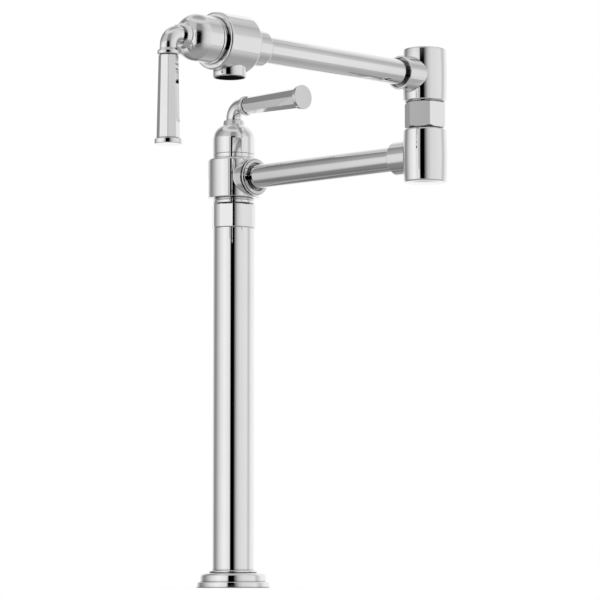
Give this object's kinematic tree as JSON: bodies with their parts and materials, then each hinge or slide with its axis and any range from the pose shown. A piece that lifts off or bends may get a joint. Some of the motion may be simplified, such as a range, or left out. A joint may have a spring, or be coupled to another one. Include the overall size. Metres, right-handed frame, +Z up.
{
  "type": "deck mount pot filler",
  "caption": "Deck mount pot filler: a tall column with two tube arms that fold at an elbow, a lever valve on the column and one at the outlet.",
  "frame": {"origin": "on the column's axis at the deck's surface, where the shank enters the deck", "axes": "+Z up along the column, -Y towards the side that the folded arms point to, +X to the elbow's side"},
  "size_m": [0.2829, 0.4889, 0.6215],
  "materials": {
    "chrome": "polished",
    "brass": "machined",
    "steel": "satin",
    "rubber": "matte",
    "plastic": "matte"
  },
  "bodies": {
    "column": {"base_flange": "chrome", "base_gasket": "rubber", "base_trim_ring": "chrome", "column_tube": "chrome", "mounting_shank": "brass", "deck_seal_washer": "rubber", "deck_steel_washer": "steel", "deck_lock_nut": "brass", "supply_inlet": "brass", "swivel_post": "brass", "swivel_seal_rings": "rubber", "riser_tube": "brass", "column_collar": "chrome", "neck_ring": "chrome"},
    "lower_arm": {"tee_body": "chrome", "arm_ferrule": "chrome", "column_bonnet_ring": "chrome", "column_bonnet": "chrome", "column_cartridge": "brass", "lower_arm_tube": "chrome", "lower_elbow_body": "chrome", "lower_elbow_cap": "chrome", "elbow_nut": "chrome", "elbow_ring": "chrome", "elbow_post": "brass", "elbow_seal_rings": "rubber"},
    "upper_arm": {"upper_elbow_body": "chrome", "upper_elbow_cap": "chrome", "upper_arm_tube": "chrome", "outlet_body": "chrome", "outlet_bonnet_ring": "chrome", "outlet_bonnet": "chrome", "outlet_cartridge": "brass", "aerator_housing": "plastic", "aerator_screen": "plastic"},
    "column_lever": {"column_lever_stem": "chrome", "column_lever_grip": "chrome", "column_lever_cap": "chrome", "column_lever_spindle": "brass", "column_lever_screw": "steel"},
    "outlet_lever": {"outlet_lever_stem": "chrome", "outlet_lever_grip": "chrome", "outlet_lever_cap": "chrome", "outlet_lever_spindle": "brass", "outlet_lever_screw": "steel"}
  },
  "joints": [
    {"name": "base_swivel", "type": "hinge", "parent": "column", "child": "lower_arm", "pos_m": [0, 0, 0.4336], "axis": [0, 0, 1], "range_deg": [-180, 180]},
    {"name": "elbow_swivel", "type": "hinge", "parent": "lower_arm", "child": "upper_arm", "pos_m": [0.19642, -0.18902, 0.5134], "axis": [0, 0, 1], "range_deg": [-35, 215]},
    {"name": "column_lever_turn", "type": "hinge", "parent": "lower_arm", "child": "column_lever", "pos_m": [0, 0, 0.5], "axis": [0, 0, 1], "range_deg": [0, 90]},
    {"name": "outlet_lever_turn", "type": "hinge", "parent": "upper_arm", "child": "outlet_lever", "pos_m": [0.004, -0.38211, 0.5134], "axis": [-0.7059, -0.7083, 0], "range_deg": [0, 90]}
  ]
}
